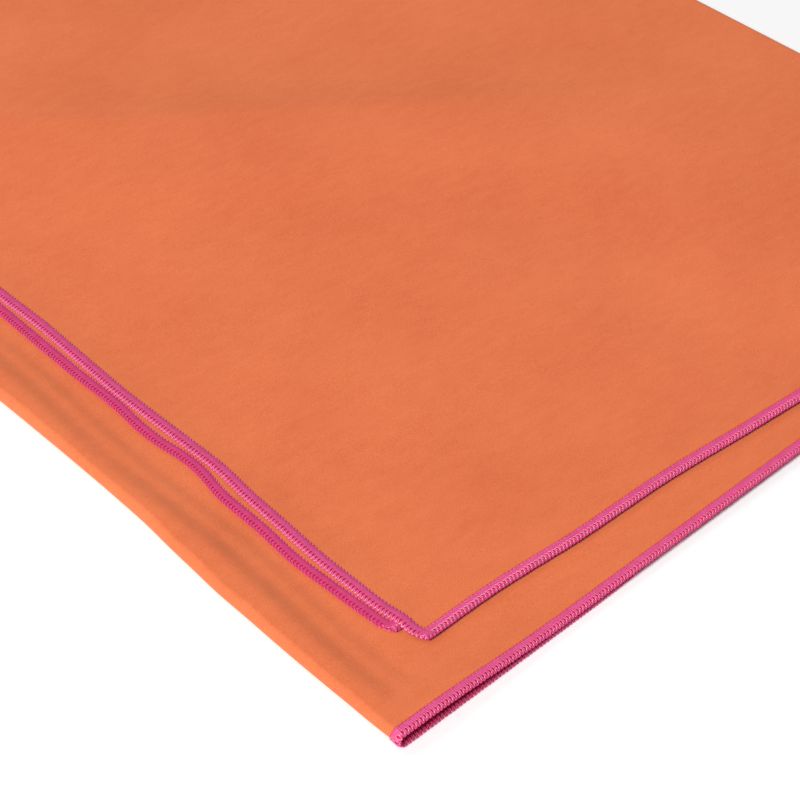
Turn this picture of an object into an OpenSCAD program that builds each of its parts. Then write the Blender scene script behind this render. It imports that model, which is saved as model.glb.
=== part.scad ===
// Quick dry towel: one sheet of suede microfibre with an overlocked edge,
// folded in half twice into a stack of four layers.
//
// The cloth is one strip. Counted from its far end it runs third layer, second
// layer (round the inside of the second fold), bottom layer (round the first
// fold), top layer (round the outside of the second fold). The first fold is
// the stack's left side, the second fold is its right side, and the two cut
// ends lie on the stack near the first fold.
//
// The edge is a three-thread overlock: a needle thread, an upper looper thread
// on the towel's face and a lower looper thread on its back, which meet round
// the cut edge. Each of these four physical pieces is split into one solid per
// layer, end and fold, so that the upper pair of layers can open.

/* [Cloth] */
// Length that the cloth is cut to, across the folds
cut_length = 1400; // [1200:10:1600]
// Width that the cloth is cut to, along the folds
cut_width = 700; // [500:10:800]
// Thickness of the cloth
cloth_t = 0.7; // [0.5:0.1:0.9]

/* [Overlocked edge] */
// Width of the stitched band
band_w = 4; // [3:0.5:6]
// Thickness of the stitched edge, from face to back
edge_t = 1.5; // [1.4:0.1:2]
// Thickness of the thread wrapped round the cut edge
wrap_t = 0.5; // [0.3:0.1:0.8]
// Width of the needle thread's line of stitches
needle_w = 0.3; // [0.2:0.1:0.4]

/* [Folded stack] */
// Air between the lower pair's stitched edges, held open by the first fold
fold_gap = 1.8; // [0.3:0.1:3]
// Clear gap between every other layer's stitched edge and the next
layer_gap = 0.3; // [0.3:0.1:1]
// How far the top layer's end is set back from the first fold
top_end_setback = 33; // [10:1:60]
// How far the third layer's end shows past the top layer's end
end_step = 4.5; // [0:0.5:9]
// How far the upper pair's front corner is set back from the lower pair's
front_setback = 24; // [0:1:40]
// How far every front edge has moved back where it meets the second fold
fold_skew = 12; // [0:1:20]

/* [Hidden] */
$fn = 64;

THREADS = ["needle_thread", "upper_looper", "lower_looper"];
LAYERS = ["bottom_layer", "second_layer", "third_layer", "top_layer"];
FOLDS = ["first_fold", "second_fold_inner", "second_fold_outer"];
ENDS = ["third_layer_end", "top_layer_end"];

orange = [0.90, 0.48, 0.31];
pink = [0.88, 0.36, 0.58];
deep_pink = [0.80, 0.22, 0.46];

// Layers are numbered 0 to 3 from the bottom
bottom = 0;
second = 1;
third = 2;
top = 3;

// Height of a layer's middle plane
function mid_z(layer) = edge_t / 2 + layer * (edge_t + layer_gap)
    + (layer == bottom ? 0 : fold_gap - layer_gap);

// +1 where the towel's face is up, -1 where it is down
function face_up(layer) = layer == second || layer == top ? 1 : -1;

// The two layers that each fold joins, lower one first
function joined(fold) =
    fold == "first_fold" ? [bottom, second]
    : fold == "second_fold_inner" ? [second, third] : [bottom, top];

// Height of a fold's axis, and radius of its cloth's middle plane
function fold_z(fold) = (mid_z(joined(fold)[0]) + mid_z(joined(fold)[1])) / 2;
function fold_r(fold) = (mid_z(joined(fold)[1]) - mid_z(joined(fold)[0])) / 2;

// X is measured from the outermost line of the first fold until place_stack()
first_fold_x = fold_r("first_fold") + edge_t / 2;
third_end_x = top_end_setback - end_step;
top_end_x = top_end_setback;
// The four layers and three bends add up to the cut length
second_fold_x = (cut_length + 2 * first_fold_x + third_end_x + top_end_x
    - PI * (fold_r(FOLDS[0]) + fold_r(FOLDS[1]) + fold_r(FOLDS[2]))) / 4;
stack_l = second_fold_x + fold_r("second_fold_outer") + edge_t / 2;
stack_w = cut_width + front_setback;

// The bottom cloth hangs from its stitched edge down to the surface it lies on
drape_in = 12;      // inset at which it has reached the surface
drape_lap = 4;      // overlap of the raised margin and the resting middle

// Where a layer starts on its left, cut ends included
function start_x(layer) =
    layer == third ? third_end_x : layer == top ? top_end_x : first_fold_x;

// Front edge of a layer at x: both pairs run to the same point of the second fold
function front_y(layer, x) =
    layer == bottom || layer == second
        ? fold_skew * (x - first_fold_x) / (second_fold_x - first_fold_x)
        : fold_skew + (front_setback - fold_skew)
            * (second_fold_x - x) / (second_fold_x - start_x(layer));

function fold_front_y(fold) = fold == "first_fold" ? front_y(bottom, first_fold_x) : fold_skew;
function fold_face(fold) = fold == "second_fold_inner" ? -1 : 1;

// Moves the stack so that the origin is the middle of its box, at the bottom
module place_stack() translate([-stack_l / 2, -stack_w / 2, 0]) children();

// Outline between x0 and x1 of the part of a layer that lies at least `inset`
// inside its front and back edges
module strip_outline(layer, x0, x1, inset)
    polygon([
        [x0, front_y(layer, x0) + inset],
        [x1, front_y(layer, x1) + inset],
        [x1, front_y(layer, x1) + cut_width - inset],
        [x0, front_y(layer, x0) + cut_width - inset]
    ]);

// Extrudes an outline between heights h0 and h1 above a layer's middle plane,
// counted towards the towel's face
module at_height(layer, h0, h1) {
    side = face_up(layer);
    translate([0, 0, mid_z(layer) + min(side * h0, side * h1)])
        linear_extrude(h1 - h0) children();
}

// Band along the front and back edges, from inset u0 to inset u1
module edge_bands(layer, u0, u1, h0, h1)
    at_height(layer, h0, h1) difference() {
        strip_outline(layer, start_x(layer), second_fold_x, u0);
        strip_outline(layer, start_x(layer) - 1, second_fold_x + 1, u1);
    }

// Band along a cut end, square at its ends and clear of the front and back bands
module end_band(layer, u0, u1, h0, h1) {
    x = start_x(layer);
    y0 = front_y(layer, x) + band_w;
    y1 = front_y(layer, x + band_w) + cut_width - band_w;
    at_height(layer, h0, h1) translate([x + u0, y0]) square([u1 - u0, y1 - y0]);
}

// Half ring round a fold's axis, from y0 to y1
module fold_ring(fold, y0, y1, h0, h1) {
    side = fold_face(fold);
    r0 = fold_r(fold) + min(side * h0, side * h1);
    is_first = fold == "first_fold";
    translate([is_first ? first_fold_x : second_fold_x, 0, fold_z(fold)])
        rotate([-90, 0, 0])
            rotate([0, 0, is_first ? 90 : -90])
                rotate_extrude(angle = 180)
                    translate([r0, y0]) square([h1 - h0, y1 - y0]);
}

// Half rings along the front and back edges, from inset u0 to inset u1
module fold_bands(fold, u0, u1, h0, h1) {
    front = fold_front_y(fold);
    back = front + cut_width;
    fold_ring(fold, front + u0, front + u1, h0, h1);
    fold_ring(fold, back - u1, back - u0, h0, h1);
}

// One band of thread, on whichever of the layers, ends and folds is named
module band_at(place, u0, u1, h0, h1) {
    layer = search([place], LAYERS)[0];
    end = search([place], ENDS)[0];
    if (is_num(layer)) edge_bands(layer, u0, u1, h0, h1);
    else if (is_num(end)) end_band(end == 0 ? third : top, u0, u1, h0, h1);
    else fold_bands(place, u0, u1, h0, h1);
}

// Panel of cloth of one layer, its hemmed edges inside the wrapped thread
module cloth_panel(layer) {
    x0 = start_x(layer) + (layer == third || layer == top ? wrap_t : 0);
    if (layer == bottom) {
        at_height(layer, -cloth_t / 2, cloth_t / 2) difference() {
            strip_outline(layer, x0, second_fold_x, wrap_t);
            strip_outline(layer, x0 + drape_in + drape_lap, second_fold_x - drape_in - drape_lap,
                drape_in + drape_lap);
        }
        linear_extrude(cloth_t)
            strip_outline(layer, x0 + drape_in, second_fold_x - drape_in, drape_in);
    } else {
        at_height(layer, -cloth_t / 2, cloth_t / 2)
            strip_outline(layer, x0, second_fold_x, wrap_t);
    }
}

module cloth(place) color(orange) {
    layer = search([place], LAYERS)[0];
    if (is_num(layer)) cloth_panel(layer);
    else fold_ring(place, fold_front_y(place) + wrap_t,
        fold_front_y(place) + cut_width - wrap_t, -cloth_t / 2, cloth_t / 2);
}

// Line of stitches on the towel's face, along the band's inner side
module needle_thread(place) color(deep_pink)
    band_at(place, band_w - needle_w, band_w, cloth_t / 2, cloth_t / 2 + needle_w);

// Cover of thread on the towel's face, round the cut edge to its middle
module upper_looper(place) color(pink) {
    band_at(place, 0, band_w - needle_w, cloth_t / 2, edge_t / 2);
    band_at(place, 0, wrap_t, 0, cloth_t / 2);
}

// Cover of thread on the towel's back, round the cut edge to its middle
module lower_looper(place) color(pink) {
    band_at(place, 0, band_w, -edge_t / 2, -cloth_t / 2);
    band_at(place, 0, wrap_t, -cloth_t / 2, 0);
}

for (place = concat(LAYERS, FOLDS))
    place_stack() cloth(place);

for (place = concat(LAYERS, FOLDS, ENDS)) {
    place_stack() needle_thread(place);
    place_stack() upper_looper(place);
    place_stack() lower_looper(place);
}
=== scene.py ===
import math

import bpy
import numpy as np
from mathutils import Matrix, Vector


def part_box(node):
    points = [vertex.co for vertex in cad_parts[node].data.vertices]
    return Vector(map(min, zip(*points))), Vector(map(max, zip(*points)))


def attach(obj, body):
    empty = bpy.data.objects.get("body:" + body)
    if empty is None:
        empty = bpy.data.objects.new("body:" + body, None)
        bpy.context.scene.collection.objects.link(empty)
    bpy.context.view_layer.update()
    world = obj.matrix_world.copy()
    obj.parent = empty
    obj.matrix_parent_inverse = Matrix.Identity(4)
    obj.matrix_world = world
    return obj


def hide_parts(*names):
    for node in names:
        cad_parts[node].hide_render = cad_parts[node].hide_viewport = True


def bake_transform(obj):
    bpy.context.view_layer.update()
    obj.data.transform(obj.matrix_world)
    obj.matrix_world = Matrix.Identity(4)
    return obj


# Quick dry towel: one sheet of suede microfibre with an overlocked edge, folded in half twice.
# Lengths are in millimetres, in the part's own frame, until a mesh is made: MM turns them into
# metres.
MM = 0.001
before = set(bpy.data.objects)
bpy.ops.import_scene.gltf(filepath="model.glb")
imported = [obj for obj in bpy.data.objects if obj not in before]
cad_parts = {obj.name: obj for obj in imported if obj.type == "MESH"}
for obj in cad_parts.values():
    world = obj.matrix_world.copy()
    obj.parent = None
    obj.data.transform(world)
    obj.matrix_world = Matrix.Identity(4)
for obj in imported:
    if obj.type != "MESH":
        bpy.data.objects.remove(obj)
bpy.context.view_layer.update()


def box_mm(node):
    low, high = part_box(node)
    return np.array(low) / MM, np.array(high) / MM


# ---------------------------------------------------------------- camera

LENS, SENSOR = 99.0, 36.0
CAMERA_AT = (-0.4587, -0.6704, 0.486)
CAMERA_LOOKS = (0.5060, 0.5660, -0.6508)

camera = bpy.data.objects.new("camera", bpy.data.cameras.new("camera"))
bpy.context.scene.collection.objects.link(camera)
bpy.context.scene.camera = camera
camera.data.lens, camera.data.sensor_width = LENS, SENSOR
camera.data.clip_start, camera.data.clip_end = 0.01, 20
camera.location = CAMERA_AT
camera.rotation_mode = "QUATERNION"
camera.rotation_quaternion = Vector(CAMERA_LOOKS).to_track_quat("-Z", "Y")

# ---------------------------------------------------------------- the folded strip

CLOTH_T = 0.7
WIDTH = 700.0          # cut size across the strip
LENGTH = 1400.0        # cut size along the strip
BAND = 4.0             # width of the stitched band
WRAP = 0.45            # from the thread's outer line to the cloth's cut edge

FIRST_X = box_mm("cloth_first_fold")[1][0]                     # axis line of the first fold
LOWER_Y0 = box_mm("upper_looper_first_fold")[0][1]             # front edge at the first fold
FOLD_Y0 = box_mm("upper_looper_second_fold_inner")[0][1]       # front edge at the second fold
UPPER_Y0 = box_mm("upper_looper_top_layer")[1][1] - WIDTH      # front edge at the top layer's end
THIRD_X0 = box_mm("upper_looper_third_layer_end")[0][0]
TOP_X0 = box_mm("upper_looper_top_layer_end")[0][0]

# The hinge's line runs down the outside of the second fold's threads, at half the stack's height
THREADS_PAST_CLOTH = 0.4
AXIS_X, AXIS_Z = box_mm("cloth_second_fold_outer")[1][0] + THREADS_PAST_CLOTH, 4.2

# Where the bends of the second fold start, how far out they reach, and the layers' heights there
INNER_X, OUTER_X = AXIS_X - 4.2, AXIS_X - 3.9
INNER_R, OUTER_R = AXIS_X - 1.95 - INNER_X, AXIS_X - 0.75 - OUTER_X
FOLD_Z = {"bottom": 0.76, "second": 2.32, "third": 6.08, "top": 7.64}
FIRST_R = 2.3          # how far the outside of the first fold's cloth is past its axis line

# Arc lengths along the strip, from the third layer's cut end, at which each part starts and ends
PARTS = ("third", "inner", "second", "first", "bottom", "outer", "top")
INNER_ARC, FIRST_ARC, OUTER_ARC = 6.2, 6.0, 12.2
lengths = [INNER_X - THIRD_X0, INNER_ARC, INNER_X - FIRST_X, FIRST_ARC,
           OUTER_X - FIRST_X, OUTER_ARC]
lengths.append(LENGTH - sum(lengths))
BREAK = dict(zip(PARTS, np.cumsum([0.0] + lengths[:-1])))
END_OF = dict(zip(PARTS, np.cumsum(lengths)))

# Long low waves of the upper pair, each with its two wave numbers and its phase
rng = np.random.default_rng(7)
WAVES = [
    (rng.uniform(0.02, 0.075) * math.cos(a), rng.uniform(0.02, 0.075) * math.sin(a),
     rng.uniform(0, 6.3))
    for a in rng.uniform(0, 6.3, 9)
]
WAVE_HEIGHT = 0.15

# Creases of the upper pair: height, middle, direction, width, length
CREASES = (
    (0.8, -62, -105, -0.55, 13, 55),
    (0.7, 18, -175, 0.35, 11, 60),
    (-0.5, -20, -150, -0.2, 12, 50),
    (0.6, 95, -262, -0.9, 14, 60),
)


def smooth_line(*points):
    """A smooth outline through about those points, as a function."""
    run_on, half, reach = 40, 15, 5.5
    px, py = zip(*points)
    at = np.arange(px[0] - run_on, px[-1] + run_on + 1, dtype=float)
    kernel = np.exp(-(np.arange(-half, half + 1) / reach) ** 2)
    raw = np.pad(np.interp(at, px, py), half, mode="edge")
    soft = np.convolve(raw, kernel / kernel.sum(), mode="valid")
    return lambda v: np.interp(v, at, soft)


# How far the cut ends and the first fold lie off their straight lines, from front to back
TOP_END = smooth_line(
    (2, -2.7), (11, -2.8), (20, -4.0), (38, -4.4), (48, -4.6), (67, -3.7), (88, -3.0), (98, -1.7),
    (108, -1.8), (130, -2.6), (153, -3.4), (176, -2.9), (200, -2.2), (250, -3.6), (310, -2.4),
    (390, -4.3), (470, -2.9), (560, -4.5), (640, -2.6), (700, -3.2))
THIRD_END = smooth_line(
    (2, -3.0), (15, -4.1), (34, -5.3), (43, -5.9), (53, -5.2), (63, -4.6), (83, -4.7), (94, -2.2),
    (104, -2.0), (116, -4.0), (127, -4.2), (138, -3.1), (150, -3.2), (162, -3.7), (173, -3.6),
    (210, -3.2), (260, -4.6), (320, -3.4), (400, -5.0), (480, -3.9), (560, -5.2), (650, -3.6),
    (700, -4.0))
FIRST_FOLD = smooth_line(
    (0, -0.9), (19, -1.2), (45, -1.8), (63, -1.8), (86, -1.8), (105, -0.9), (124, 0.2), (148, 0.5),
    (170, 0.2), (210, -0.6), (260, -1.6), (320, -0.5), (390, -1.8), (470, -0.6), (550, -1.7),
    (630, -0.4), (700, -1.2))
# How far the upper pair's front edge lies off its curve, from left to right
UPPER_FRONT = smooth_line(
    (-152, 0.0), (-135, 0.9), (-120, 1.3), (-102, 0.8), (-86, 0.2), (-68, 0.6), (-48, 1.1),
    (-30, 0.7), (-10, -0.1), (20, -0.5), (60, 0.3), (110, 0.0), (178, 0.0))
# How far to the left of the CAD's the cut ends lie, for the fall of the layers over them
ENDS_LEFT = 3.9


def step(a, b, x):
    """0 before a, 1 after b, and a smooth rise between."""
    t = np.clip((x - a) / (b - a), 0, 1)
    return t * t * (3 - 2 * t)


def hill(x, at, width):
    return np.exp(-((x - at) / width) ** 2)


def towards(z, goal, share):
    return z + share * (goal - z)


def from_edge(v):
    """How far v is from the nearer of the front and back edges."""
    return np.minimum(v, WIDTH - v)


def ridge(x, y):
    """A long low ridge that runs aslant over the upper pair, steeper on its far side."""
    crest_x, crest_y, cosine, sine = 31.3, -117, 0.81, 0.59
    bow, near_width, far_width, far_slope = 3.2, 62, 84, -2.5
    along = (x - crest_x) * cosine - (y - crest_y) * sine
    across = (x - crest_x) * sine + (y - crest_y) * cosine - bow * (along / 130) ** 2
    near = np.exp(-(np.minimum(across, 0) / near_width) ** 2)
    t = np.clip(across / far_width, 0, 1)
    far = (2 * t**3 - 3 * t**2 + 1) + (t**3 - 2 * t**2 + t) * far_slope
    height = 5.0 + 0.3 * np.sin(along / 47 + 0.6)
    lower_ends = 1 - step(110, 190, np.abs(along + 10)) * 0.55
    return height * np.where(across < 0, near, far) * lower_ends


def line_fold(x, y, x0, y0, angle, width, length):
    """A soft crease of height 1 along a short line."""
    c, s = math.cos(angle), math.sin(angle)
    along = (x - x0) * c + (y - y0) * s
    across = -(x - x0) * s + (y - y0) * c
    return np.exp(-(across / width) ** 2 - (along / length) ** 2)


def unevenness(x, y):
    """How far the upper layers stand above lying flat, before it is faded at the edges."""
    soft = sum(np.sin(kx * x + ky * y + phase) for kx, ky, phase in WAVES) * WAVE_HEIGHT
    creases = sum(height * line_fold(x, y, *line) for height, *line in CREASES)
    return np.maximum(soft + 0.5 + creases + ridge(x, y), 0)


def layer_front(layer, x):
    """Front edge of a layer at x."""
    if layer in ("second", "bottom"):
        straight = LOWER_Y0 + (FOLD_Y0 - LOWER_Y0) * (x - FIRST_X) / (INNER_X - FIRST_X)
        y = straight - 0.5 * (1 - step(60, 170, x))
        if layer == "bottom":
            # The bottom hem draws back under the second layer's along the middle of the front
            y = y + 2.2 * step(75, 150, x - FIRST_X) * (1 - step(250, 330, x - FIRST_X))
        return y
    # The upper pair's front edge bends forwards to meet the lower pair's at the second fold
    bend_power, forwards, third_back = 2.9, 0.35, 9.3
    t = np.clip((x - TOP_X0) / (INNER_X - TOP_X0), -0.1, 1)
    y = UPPER_Y0 + (FOLD_Y0 - UPPER_Y0) * np.abs(t) ** bend_power + UPPER_FRONT(x) - forwards
    if layer == "third":
        y = y + third_back * (1 - step(0.0, 1.0, t))
    return y


def first_fold_x(v):
    """Axis line of the first fold, which isn't quite straight."""
    return FIRST_X + FIRST_FOLD(v)


# Heights of the cloth's middle: where it lies on the floor, and what the stitched edges add
ON_FLOOR = 0.36
BOTTOM_HEM, SECOND_HEM, UPPER_HEM = 0.40, 0.5, 0.36
# How far one layer's middle lies over the next one's
SECOND_OVER_BOTTOM, THIRD_OVER_SECOND, TOP_OVER_THIRD = 0.95, 0.74, 0.38
# What the second layer's height fades to past its back edge, to let the upper pair down
PAST_BACK = -0.08
# How far before the hinge's line each pair begins to run level, and ends
LOWER_LEVEL, UPPER_LEVEL = (95, 8), (175, 6)


def open_fold(y, from_fold, near_hem):
    """How far the first fold holds the second layer up, at y along it and from_fold behind it.

    Along the hems it closes in one long slope. Between them the second layer falls in two uneven
    steps, and then runs out flat."""
    far_away = step(-200, -150, y)
    first_drop = (2.25 + 0.50 * np.cos((y + 243) / 4.06) * hill(y, -268, 42)
                  - 0.9 * hill(y, -208, 16) - 0.5 * hill(y, -330, 12)
                  + 0.3 * np.sin(y / 21.0) * far_away)
    bumps = hill(y, -170, 10) + hill(y, -200, 12) + hill(y, -234, 9) + hill(y, -262, 9)
    second_drop = 0.95 + 0.45 * bumps + 0.2 * np.sin(y / 13.0 + 1) * far_away
    past = from_fold + 1.0 * np.sin(y / 19.0)
    steps = (first_drop * (1 - step(2.5, 11, past)) + second_drop * (1 - step(11.5, 18, past))
             + 0.8 * (1 - step(18, 40, past)))
    return near_hem * 2.7 * (1 - step(6, 66, from_fold)) + (1 - near_hem) * steps


def heights(layer, x, v):
    """Height of the middle of a layer's cloth."""
    lower = layer in ("bottom", "second")
    d = from_edge(v)
    # Near the second fold each layer runs level to the height at which its bend starts
    begins, ends = LOWER_LEVEL if lower else UPPER_LEVEL
    level = step(AXIS_X - begins, AXIS_X - ends, x)
    if layer == "bottom":
        z_bottom = ON_FLOOR + BOTTOM_HEM * (1 - step(4, 15, d))
        return towards(z_bottom, FOLD_Z["bottom"], level)

    # Every layer above starts from the second layer's height at the same x and y, so that the
    # layers stay in order
    y = layer_front("second" if lower else layer, x) + v
    below = y - layer_front("second", x)
    below_d = from_edge(below)
    hem, near_hem = 1 - step(4, 15, below_d), 1 - step(4, 26, below_d)
    puff = open_fold(y, x - FIRST_X, near_hem)
    lift = step(-150, -60, x) * step(40, 110, d) * (1 - step(AXIS_X - 60, AXIS_X - 6, x))
    rough = unevenness(x, y)
    z_second = ON_FLOOR + BOTTOM_HEM * hem + SECOND_OVER_BOTTOM + SECOND_HEM * hem + puff
    z_second = z_second + 0.45 * rough * lift
    if layer == "second":
        return towards(z_second, FOLD_Z["second"], level)

    z_second = towards(z_second, PAST_BACK, step(0.5, 14, below - WIDTH))
    # The third layer's cloth, and its hem standing a little proud of it
    third_d = from_edge(y - layer_front("third", x))
    third_left = x - (THIRD_X0 - ENDS_LEFT)
    z_third = z_second + 0.55 * rough * lift + THIRD_OVER_SECOND
    if layer == "third":
        hem = np.maximum(1 - step(3, 9, third_d), 1 - step(3, 9, third_left))
        return towards(z_third + UPPER_HEM * hem, FOLD_Z["third"], level)

    # The top layer lies on the third, or past its edge on the second
    over = step(-6.5, 0.5, third_d) * step(-6, 0, third_left)
    third_hem = (1 - step(3, 9, third_d)) * step(-2, 1, third_d)
    top_left = x - (TOP_X0 - ENDS_LEFT)
    hem = np.maximum(2.9 - 2.9 * step(1.5, 12, d), 1 - step(3, 17, top_left))
    under = (1 - over) * (z_second + 0.36) + over * (z_third + UPPER_HEM * third_hem + 0.36)
    return towards(under + TOP_OVER_THIRD + UPPER_HEM * hem, FOLD_Z["top"], level)


def panel_x(layer, s, v):
    """Where a panel's point is across the stack."""
    end_fade, fold_fade = 130, 60       # how far in the outlines of the ends and the fold die out
    u = (s - BREAK[layer]) / (END_OF[layer] - BREAK[layer])
    if layer == "third":
        x = THIRD_X0 + u * (INNER_X - THIRD_X0)
        return x + THIRD_END(v) * (1 - step(0, end_fade, s)) * step(-3, 6, v)
    if layer == "top":
        x = OUTER_X + u * (TOP_X0 - OUTER_X)
        return x + TOP_END(v) * (1 - step(0, end_fade, LENGTH - s)) * step(-3, 6, v)
    off = first_fold_x(v) - FIRST_X
    if layer == "second":
        return INNER_X + u * (FIRST_X - INNER_X) + off * (1 - step(0, fold_fade, END_OF[layer] - s))
    return FIRST_X + u * (OUTER_X - FIRST_X) + off * (1 - step(0, fold_fade, s - BREAK[layer]))


def bend(name, s, v, x0, reach, before, after):
    """Half an ellipse out to x0 + reach, between the two panels that a fold joins."""
    angle = np.pi * (s - BREAK[name]) / (END_OF[name] - BREAK[name])
    z0, z1 = heights(before, x0, v), heights(after, x0, v)
    z = (z0 + z1) / 2 + (z0 - z1) / 2 * np.cos(angle)
    return x0 + reach * np.sin(angle), layer_front(before, x0) + v, z


def surface(s, v):
    """Middle of the cloth at s along the strip and v across it: an array of points."""
    s, v = np.broadcast_arrays(np.asarray(s, float), np.asarray(v, float))
    s, v = s.ravel(), v.ravel()
    out = np.zeros((len(s), 3))
    for name in PARTS:
        low = -np.inf if name == PARTS[0] else BREAK[name]
        high = np.inf if name == PARTS[-1] else END_OF[name]
        m = (s >= low) & (s < high)
        if not m.any():
            continue
        a, b = s[m], v[m]
        if name == "inner":
            got = bend(name, a, b, np.full(len(a), INNER_X), INNER_R, "third", "second")
        elif name == "outer":
            got = bend(name, a, b, np.full(len(a), OUTER_X), OUTER_R, "bottom", "top")
        elif name == "first":
            got = bend(name, a, b, first_fold_x(b), CLOTH_T / 2 - FIRST_R, "second", "bottom")
        else:
            x = panel_x(name, a, b)
            got = x, layer_front(name, x) + b, heights(name, x, b)
        out[m] = np.stack(got, axis=1)
    return out


def placed(s, v, h):
    """Points at height h above the middle surface, on the towel's face side."""
    e = 0.35           # half the span over which the surface's slope is taken
    along = surface(s + e, v) - surface(s - e, v)
    across = surface(s, v + e) - surface(s, v - e)
    n = np.cross(along, across)
    # On the third layer s runs to the right and v away, so this normal is up there,
    # where the face is down: the face is on its other side
    n /= -np.maximum(np.linalg.norm(n, axis=1), 1e-9)[:, None]
    return surface(s, v) + n * np.asarray(h, float).ravel()[:, None]


# ---------------------------------------------------------------- meshes


def new_mesh(name, points, faces, material, sharp=50):
    """A smooth-shaded object of quads, with edges sharper than that many degrees left sharp."""
    mesh = bpy.data.meshes.new(name)
    faces = np.asarray(faces, np.int32)
    mesh.vertices.add(len(points))
    mesh.vertices.foreach_set("co", (np.asarray(points) * MM).astype(np.float32).ravel())
    mesh.loops.add(faces.size)
    mesh.loops.foreach_set("vertex_index", faces.ravel())
    mesh.polygons.add(len(faces))
    loop_starts = np.arange(0, faces.size, faces.shape[1], dtype=np.int32)
    mesh.polygons.foreach_set("loop_start", loop_starts)
    mesh.update(calc_edges=True)
    mesh.validate()
    mesh.shade_smooth()
    mesh.set_sharp_from_angle(angle=math.radians(sharp))
    mesh.materials.append(material)
    obj = bpy.data.objects.new(name, mesh)
    bpy.context.scene.collection.objects.link(obj)
    return obj


GRID = 4.4                                                          # spacing of the cloth's grid
INSETS = (WRAP, 1.2, 2.4, 3.6, 4.6, 6.0, 8.0, 10.5, 13.5, 17.0)     # finer lines behind a hem
FOLD_INSETS = (1.2, 2.6, 4.4)                                       # and beside a fold
STEP_INSETS = np.arange(6.0, 32, 1.6)                               # and over the steps behind one


def spaced(a, b, fine):
    """Grid lines from a to b at about the grid's spacing, with fine ones in place of any nearby."""
    lines = set(np.round(np.linspace(a, b, int(round((b - a) / GRID)) + 1), 4))
    ends = (round(a, 4), round(b, 4))
    keep = {x for x in lines if x in ends or all(abs(x - f) > GRID * 0.45 for f in fine)}
    return np.array(sorted(keep | {round(f, 4) for f in fine}))


def panel_lines(part):
    """A panel's grid lines along the strip, finer at its hem, folds and the steps behind one."""
    a, b = BREAK[part], END_OF[part]
    fine = []
    if part == "third":
        a = WRAP
        fine += INSETS
    else:
        fine += [a + i for i in FOLD_INSETS]
    if part == "top":
        b = LENGTH - WRAP
        fine += [LENGTH - i for i in INSETS]
    else:
        fine += [b - i for i in FOLD_INSETS]
    if part == "second":
        fine += [b - i for i in STEP_INSETS]
    return spaced(a, b, fine)


def bend_lines(part, count):
    return np.linspace(BREAK[part], END_OF[part], count)


ACROSS = spaced(WRAP, WIDTH - WRAP, [*INSETS, *(WIDTH - i for i in INSETS)])


def cloth_piece(name, material, *runs):
    """A closed piece of cloth over one or more runs of grid lines along the strip."""
    points, faces, insets, start = [], [], [], 0
    for lines in runs:
        s, v = np.meshgrid(lines, ACROSS, indexing="ij")
        for h in (CLOTH_T / 2, -CLOTH_T / 2):
            points.append(placed(s.ravel(), v.ravel(), np.full(s.size, h)))
        rows, columns = s.shape
        n = rows * columns
        i = np.arange(n).reshape(rows, columns)
        quad = np.stack([i[:-1, :-1], i[1:, :-1], i[1:, 1:], i[:-1, 1:]], axis=-1).reshape(-1, 4)
        ring = np.concatenate([i[:, 0], i[-1, 1:], i[-2::-1, -1], i[0, -2:0:-1]])
        after = np.roll(ring, -1)
        rim = np.stack([ring, after, after + n, ring + n], axis=-1)
        faces.append(np.concatenate([quad[:, ::-1], quad + n, rim]) + start)
        inset = np.minimum(from_edge(v), np.minimum(s, LENGTH - s)).ravel()
        insets += [inset, inset]
        start += 2 * n
    obj = new_mesh(name, np.concatenate(points), np.concatenate(faces), material)
    # inset: how far in from the cut edges each point lies; the material paints the shade and pink
    # glow under the stitched band from it
    attribute = obj.data.attributes.new("inset", "FLOAT", "POINT")
    attribute.data.foreach_set("value", np.concatenate(insets).astype(np.float32))
    return obj


# ---------------------------------------------------------------- stitches

PITCH = 1.45           # length of one stitch
SIDES = 6              # of a thread's cross-section
LOOPER_POINTS, LINE_POINTS = 18, 8     # along each stitch of a looper, and of the other runs
NEEDLE_HALF, RIM_HALF = 0.18, 0.20     # half the thickness of those runs


def tube(path, half_w, half_h):
    """A tube round a path of (t, u, h) points, half_w to each side of it and half_h up and down.

    path is (threads, points, 3); returns points and faces in the same (t, u, h) space."""
    forward = np.gradient(path, axis=1)
    forward /= np.maximum(np.linalg.norm(forward, axis=2, keepdims=True), 1e-9)
    up = np.zeros_like(path)
    up[..., 2] = 1
    # Where the thread turns down round the edge, its flat side faces outwards
    up[..., 1] = -np.clip(-forward[..., 2] * np.sign(forward[..., 1] + 1e-9), 0, 1) * 1.5
    side = np.cross(forward, up)
    side /= np.maximum(np.linalg.norm(side, axis=2, keepdims=True), 1e-9)
    up = np.cross(side, forward)
    a = np.arange(SIDES) * 2 * np.pi / SIDES
    ring = (path[:, :, None] + side[:, :, None] * (half_w[..., None] * np.cos(a))[..., None]
            + up[:, :, None] * (half_h[..., None] * np.sin(a))[..., None])
    m, n = path.shape[:2]
    i = np.arange(m * n * SIDES).reshape(m, n, SIDES)
    j = np.roll(i, -1, axis=2)
    quads = np.stack([i[:, :-1], j[:, :-1], j[:, 1:], i[:, 1:]], axis=-1).reshape(-1, 4)
    first, last = (np.concatenate([ends[:, [0, 1, 2, 3]], ends[:, [0, 3, 4, 5]]])
                   for ends in (i[:, 0], i[:, -1]))
    return ring.reshape(-1, 3), np.concatenate([quads, first[:, ::-1], last])


def along_stitches(count, per):
    """Places along `count` stitches, in stitches, and how far through its own stitch each is."""
    f = np.arange(count * per + 1) / per
    return f, f - np.floor(f)


def round_end(x):
    """A quarter circle from 0 to 1 while x goes from 0 to 0.2, and 1 after it."""
    return np.sqrt(np.clip(1 - (1 - np.clip(x / 0.20, 0, 1)) ** 2, 0, 1))


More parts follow.
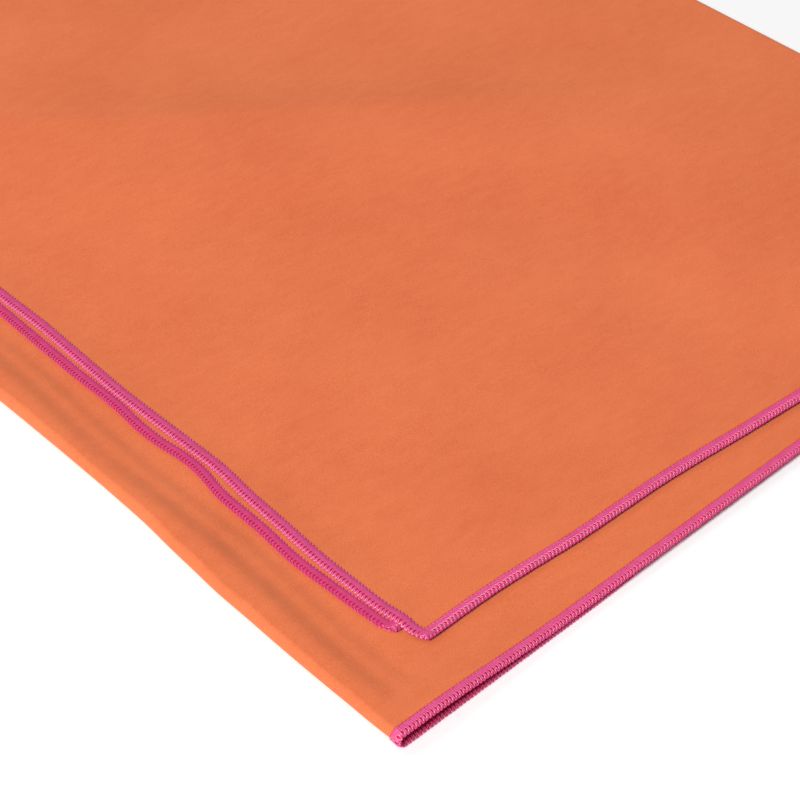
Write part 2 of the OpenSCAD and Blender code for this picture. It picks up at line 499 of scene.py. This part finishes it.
def looper_path(count, pitch, side, arch):
    """One looper thread's path over `count` stitches: across the band and back for each.

    side is 1 on the towel's face and -1 on its back; arch(t) is how high the thread stands over
    the cloth. A path is (t, u, h): along the edge, in from it, and above the cloth's middle."""
    f, w = along_stitches(count, LOOPER_POINTS)   # whole numbers are at the edge
    x = np.where(w <= 0.5, w, 1 - w) * 2          # 0 at the edge, 1 at the needle line
    leaving = np.where(w <= 0.5, 1.0, -1.0)       # leaving the edge, or coming back to it
    turns_at, outside = BAND - 0.40, 0.05         # the turns at the needle line and at the edge
    u = turns_at * (1 - np.cos(np.pi * np.clip(x, 0, 1) ** 0.92)) / 2 - outside
    # The two strands that meet at the edge stand apart there, round a small oval
    spread = 0.25 + 0.10 * hill(u, 0.85, 0.60)
    sideways = leaving * (spread * round_end(x) + 0.25 * (1 - round_end(1 - x)))
    t = (np.floor(f) + np.where(w <= 0.5, 0, 1) + sideways) * pitch
    # A low arch, tucked in at the needle line and rolled down at the edge
    rise = np.sin(np.pi * np.clip(u / (BAND - 0.5), 0, 1)) ** 0.8 * arch(t)
    edge_drop = (1 - np.clip(u / 0.75, 0, 1)) ** 2
    over_cloth, rolled_down, tucked_in = 0.16, 0.47, 0.20
    h = CLOTH_T / 2 + over_cloth + rise - rolled_down * edge_drop - tucked_in * step(0.80, 1.0, x)
    # Wide and flat, so that the strands close up, but round and narrow beside the oval
    width = 0.465 - 0.255 * hill(u, 0.80, 0.70) - 0.17 * step(0.78, 1.0, x)
    thick = 0.165 + 0.05 * hill(u, 0.6, 0.7)
    path = np.stack([t, u, h * side], axis=-1)[None]
    return path, (width * pitch / PITCH)[None], thick[None]


def needle_path(count, pitch, side):
    """The needle thread's line: one short stitch after another, dipping at each hole."""
    f, w = along_stitches(count, LINE_POINTS)
    u = BAND - 0.36 + 0.13 * np.sin(2 * np.pi * f)
    h = CLOTH_T / 2 + 0.56 * np.sin(np.pi * w) ** 1.3 - 0.30
    path = np.stack([f * pitch, u, h * side], axis=-1)[None]
    half = np.full(path.shape[:2], NEEDLE_HALF)
    return path, half, half * 0.95


def rim_path(count, pitch):
    """The lower looper's run along the cut edge, through the loops of the upper one."""
    f, w = along_stitches(count, LINE_POINTS)
    u = 0.16 - 0.17 * np.cos(2 * np.pi * w)
    h = -0.10 + 0.20 * np.cos(2 * np.pi * w)
    path = np.stack([f * pitch, u, h], axis=-1)[None]
    half = np.full(path.shape[:2], RIM_HALF)
    return path, half, half


# How high the loopers arch on each side of the cloth: full where they are free, and nearly flat
# where the stack or the floor presses on them
FREE, PRESSED = 0.30, 0.06
FACE_ARCH = {"third": PRESSED, "second": FREE, "bottom": PRESSED, "top": FREE}
BACK_ARCH = {"third": 0.26, "second": PRESSED, "bottom": 0.12, "top": PRESSED}
# A cut end's threads are raised at its corners, where they cross over those of the side hems
END_RAISED, END_CORNER = 0.10, (4, 8)


def arch_at(arches, where, s):
    """How high a looper arches at s along the strip, or on a cut end."""
    if where in ("third_end", "top_end"):
        return arches["third" if where == "third_end" else "top"]
    out = np.full(np.shape(s), arches["third"])
    for fold, after in (("inner", "second"), ("first", "bottom"), ("outer", "top")):
        out = out + (arches[after] - out) * step(BREAK[fold], END_OF[fold], s)
    return out


def edge_run(kind, start_at, end_at, where):
    """Points and faces of one kind of thread over one run of edge.

    where is front or back for a run along the strip, and third_end or top_end for one across it."""
    count = int(round((end_at - start_at) / PITCH))
    pitch = (end_at - start_at) / count
    if kind == "needle_thread":
        threads = [needle_path(count, pitch, 1), needle_path(count, pitch, -1)]
    elif kind == "upper_looper":
        threads = [looper_path(count, pitch, 1, lambda t: arch_at(FACE_ARCH, where, start_at + t))]
    else:
        threads = [looper_path(count, pitch, -1, lambda t: arch_at(BACK_ARCH, where, start_at + t)),
                   rim_path(count, pitch)]
    points, faces, start = [], [], 0
    for path, half_w, half_h in threads:
        p, f = tube(path, half_w, half_h)
        t, u, h = p.T
        if where in ("front", "back"):
            # A little unevenness, as in any sewn edge
            wobble = 0.05 * np.sin(t * 0.83 + start_at) + 0.04 * np.sin(t * 2.1 + 1 + start_at)
            s = start_at + t
            v = u + wobble * 0.6 if where == "front" else WIDTH - u - wobble * 0.6
        else:
            s, v = (u if where == "third_end" else LENGTH - u), start_at + t
            h = h + END_RAISED * (1 - step(*END_CORNER, from_edge(v)))
        points.append(placed(s, v, h))
        faces.append((f[:, ::-1] if where in ("back", "third_end") else f) + start)
        start += len(p)
    return np.concatenate(points), np.concatenate(faces)


def thread_piece(name, kind, material, runs):
    points, faces, start = [], [], 0
    for run in runs:
        p, f = edge_run(kind, *run)
        points.append(p)
        faces.append(f + start)
        start += len(p)
    return new_mesh(name, np.concatenate(points), np.concatenate(faces), material, sharp=75)


# ---------------------------------------------------------------- materials


def linear(r, g, b):
    """An sRGB colour from 0 to 255, as Blender's linear one."""
    def one(c):
        c /= 255
        return c / 12.92 if c <= 0.04045 else ((c + 0.055) / 1.055) ** 2.4

    return one(r), one(g), one(b), 1.0


def material(name):
    m = bpy.data.materials.new(name)
    m.use_nodes = True
    nodes, links = m.node_tree.nodes, m.node_tree.links
    shader = nodes["Principled BSDF"]
    where = nodes.new("ShaderNodeTexCoord").outputs["Object"]
    return m, nodes, links, shader, where


def noise(nodes, links, where, scale, detail=2.0, rough=0.5, stretch=None):
    node = nodes.new("ShaderNodeTexNoise")
    node.inputs["Scale"].default_value = scale
    node.inputs["Detail"].default_value = detail
    node.inputs["Roughness"].default_value = rough
    if stretch:
        mapping = nodes.new("ShaderNodeMapping")
        mapping.inputs["Scale"].default_value = stretch
        mapping.inputs["Rotation"].default_value = (0, 0, 0.4)
        links.new(where, mapping.inputs["Vector"])
        where = mapping.outputs["Vector"]
    links.new(where, node.inputs["Vector"])
    return node.outputs["Fac"]


def math_node(nodes, links, kind, a, b):
    node = nodes.new("ShaderNodeMath")
    node.operation = kind
    for socket, value in zip(node.inputs, (a, b)):
        if isinstance(value, (int, float)):
            socket.default_value = value
        else:
            links.new(value, socket)
    return node.outputs[0]


def ramp(nodes, links, fac, *stops):
    """Colour from two stops."""
    node = nodes.new("ShaderNodeValToRGB")
    for element, (at, colour) in zip(node.color_ramp.elements, stops):
        element.position, element.color = at, colour
    links.new(fac, node.inputs["Fac"])
    return node.outputs["Color"]


def mix(nodes, links, fac, a, b):
    node = nodes.new("ShaderNodeMix")
    node.data_type = "RGBA"
    for socket, value in zip((node.inputs[0], node.inputs[6], node.inputs[7]), (fac, a, b)):
        if hasattr(value, "is_linked"):
            links.new(value, socket)
        else:
            socket.default_value = value
    return node.outputs[2]


def add_bump(nodes, links, shader, height, strength, distance):
    bump = nodes.new("ShaderNodeBump")
    bump.inputs["Strength"].default_value = strength
    bump.inputs["Distance"].default_value = distance
    links.new(height, bump.inputs["Height"])
    links.new(bump.outputs["Normal"], shader.inputs["Normal"])


def add_sheen(shader, weight, roughness, tint):
    shader.inputs["Sheen Weight"].default_value = weight
    shader.inputs["Sheen Roughness"].default_value = roughness
    shader.inputs["Sheen Tint"].default_value = tint


def cloth_material():
    m, nodes, links, shader, where = material("suede_microfibre")
    nap = noise(nodes, links, where, 2600, 3, 0.6)
    brushed = noise(nodes, links, where, 120, 3, 0.55, stretch=(1.0, 2.2, 1.0))
    broad = noise(nodes, links, where, 14, 2, 0.5)
    streaks = math_node(nodes, links, "ADD", math_node(nodes, links, "MULTIPLY", brushed, 0.15),
                        math_node(nodes, links, "MULTIPLY", broad, 0.25))
    grain = math_node(nodes, links, "MULTIPLY", nap, 0.60)
    blend_in = math_node(nodes, links, "ADD", grain, streaks)
    base = ramp(nodes, links, blend_in, (0.36, linear(204, 98, 57)), (0.64, linear(226, 121, 76)))
    # Under the stitched band the cloth's colour is painted crimson: painted shade and painted pink
    # glow, for the pink threads' shade over it and the light they throw back onto it
    inset = nodes.new("ShaderNodeAttribute")
    inset.attribute_name = "inset"
    ramp_end, pink_to, orange_from = 8.0, 3.5, 4.1      # millimetres in from the edge
    under = ramp(nodes, links, math_node(nodes, links, "DIVIDE", inset.outputs["Fac"], ramp_end),
                 (pink_to / ramp_end, (1, 1, 1, 1)), (orange_from / ramp_end, (0, 0, 0, 1)))
    links.new(mix(nodes, links, under, base, linear(238, 24, 86)), shader.inputs["Base Color"])
    shader.inputs["Roughness"].default_value = 0.92
    shader.inputs["Specular IOR Level"].default_value = 0.25
    add_sheen(shader, 0.30, 0.42, linear(255, 215, 170))
    relief = math_node(nodes, links, "ADD", nap, math_node(nodes, links, "MULTIPLY", brushed, 0.25))
    add_bump(nodes, links, shader, relief, 0.23, 0.0002)
    return m


def thread_material(name, dark, light, roughness):
    m, nodes, links, shader, where = material(name)
    fibre = noise(nodes, links, where, 5200, 2, 0.6)
    patch = noise(nodes, links, where, 420, 2, 0.5)
    fac = math_node(nodes, links, "ADD", math_node(nodes, links, "MULTIPLY", fibre, 0.55),
                    math_node(nodes, links, "MULTIPLY", patch, 0.45))
    links.new(ramp(nodes, links, fac, (0.3, dark), (0.7, light)), shader.inputs["Base Color"])
    shader.inputs["Roughness"].default_value = roughness
    shader.inputs["Specular IOR Level"].default_value = 0.95
    add_sheen(shader, 0.10, 0.35, linear(255, 190, 230))
    add_bump(nodes, links, shader, fibre, 0.35, 0.00006)
    return m


suede = cloth_material()
pink = thread_material("pink_thread", linear(201, 50, 107), linear(218, 79, 138), 0.36)
# The lower looper's thread is a darker copy of the pink one: painted shade, for where it lies under
# the hem and rolled round the cut edge
shaded_pink = thread_material("shaded_pink_thread", linear(196, 37, 97), linear(213, 61, 124), 0.38)
needle_pink = thread_material("needle_thread", linear(205, 48, 107), linear(223, 78, 139), 0.36)

# ---------------------------------------------------------------- pieces


def join_to_frame(obj, body, nodes):
    """Rides obj on a body, or, if body is None, bakes its place into its mesh and leaves it on no
    body, in place of CAD nodes, which it hides.
    """
    if body:
        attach(obj, body)
    else:
        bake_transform(obj)
    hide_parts(*nodes)


def both_edges(start_at, end_at):
    return [(start_at, end_at, where) for where in ("front", "back")]


lower_pair = cloth_piece("cloth_lower_pair", suede, np.unique(np.concatenate([
    panel_lines("second"), bend_lines("first", 15), panel_lines("bottom")])))
third_panel = cloth_piece("cloth_third_panel", suede, panel_lines("third"))
top_panel = cloth_piece("cloth_top_panel", suede, panel_lines("top"))
second_fold = cloth_piece("cloth_second_fold", suede,
                          bend_lines("inner", 17), bend_lines("outer", 23))

# For each place on the edge: its body, None for the second fold, which rides on no body, and its
# runs of stitches
END_RUN = (0.25, WIDTH - 0.25)         # across the strip; a cut end's threads stop just short of it
EDGES = {
    "bottom_layer": ("lower_half", both_edges(BREAK["bottom"], END_OF["bottom"])),
    "second_layer": ("lower_half", both_edges(BREAK["second"], END_OF["second"])),
    "first_fold": ("lower_half", both_edges(BREAK["first"], END_OF["first"])),
    "third_layer": ("upper_half", both_edges(0.0, END_OF["third"])),
    "third_layer_end": ("upper_half", [(*END_RUN, "third_end")]),
    "top_layer": ("upper_half", both_edges(BREAK["top"], LENGTH)),
    "top_layer_end": ("upper_half", [(*END_RUN, "top_end")]),
    "second_fold": (None, both_edges(BREAK["inner"], END_OF["inner"])
                    + both_edges(BREAK["outer"], END_OF["outer"])),
}
THREADS = {"needle_thread": needle_pink, "upper_looper": pink, "lower_looper": shaded_pink}

stitches = {}
for kind, finish in THREADS.items():
    for place, (body, runs) in EDGES.items():
        if place == "second_fold":
            name, nodes = f"{kind}_{place}", [f"{kind}_{place}_inner", f"{kind}_{place}_outer"]
        else:
            name, nodes = f"{kind}_{place}_stitches", [f"{kind}_{place}"]
        stitches[kind, place] = thread_piece(name, kind, finish, runs)
        join_to_frame(stitches[kind, place], body, nodes)

join_to_frame(lower_pair, "lower_half",
              ["cloth_bottom_layer", "cloth_second_layer", "cloth_first_fold"])
join_to_frame(third_panel, "upper_half", ["cloth_third_layer"])
join_to_frame(top_panel, "upper_half", ["cloth_top_layer"])
join_to_frame(second_fold, None, ["cloth_second_fold_inner", "cloth_second_fold_outer"])

# ---------------------------------------------------------------- floor and light

FLOOR_HALF, FLOOR_Z = 6.0, -0.0001
floor = bpy.data.objects.new("floor", bpy.data.meshes.new("floor"))
corners = [(x * FLOOR_HALF, y * FLOOR_HALF, FLOOR_Z)
           for x, y in ((-1, -1), (1, -1), (1, 1), (-1, 1))]
floor.data.from_pydata(corners, [], [(0, 1, 2, 3)])
floor_finish, nodes, links, shader, where = material("pale_floor")
links.new(ramp(nodes, links, noise(nodes, links, where, 3, 2),
               (0.3, (0.90, 0.90, 0.90, 1)), (0.7, (0.92, 0.92, 0.92, 1))),
          shader.inputs["Base Color"])
shader.inputs["Roughness"].default_value = 0.95
shader.inputs["Specular IOR Level"].default_value = 0.1
floor.data.materials.append(floor_finish)
bpy.context.scene.collection.objects.link(floor)


LIGHTS_AIM = Vector((-0.05, -0.2, 0))


def area_light(name, at, size, power):
    light = bpy.data.lights.new(name, "AREA")
    light.shape, light.size, light.energy = "DISK", size, power
    obj = bpy.data.objects.new(name, light)
    bpy.context.scene.collection.objects.link(obj)
    obj.location = at
    obj.rotation_mode = "QUATERNION"
    obj.rotation_quaternion = (LIGHTS_AIM - Vector(at)).to_track_quat("-Z", "Y")


area_light("left_softbox", (-2.35, -0.75, 2.3), 1.2, 118)
area_light("back_softbox", (-0.9, 2.6, 2.6), 1.6, 26)
area_light("right_fill", (1.4, -1.0, 1.8), 1.4, 5)
world = bpy.data.worlds.new("studio")
bpy.context.scene.world = world
world.use_nodes = True
world.node_tree.nodes["Background"].inputs["Color"].default_value = (1, 1, 1, 1)
world.node_tree.nodes["Background"].inputs["Strength"].default_value = 0.22
bpy.context.scene.view_settings.view_transform = "Standard"
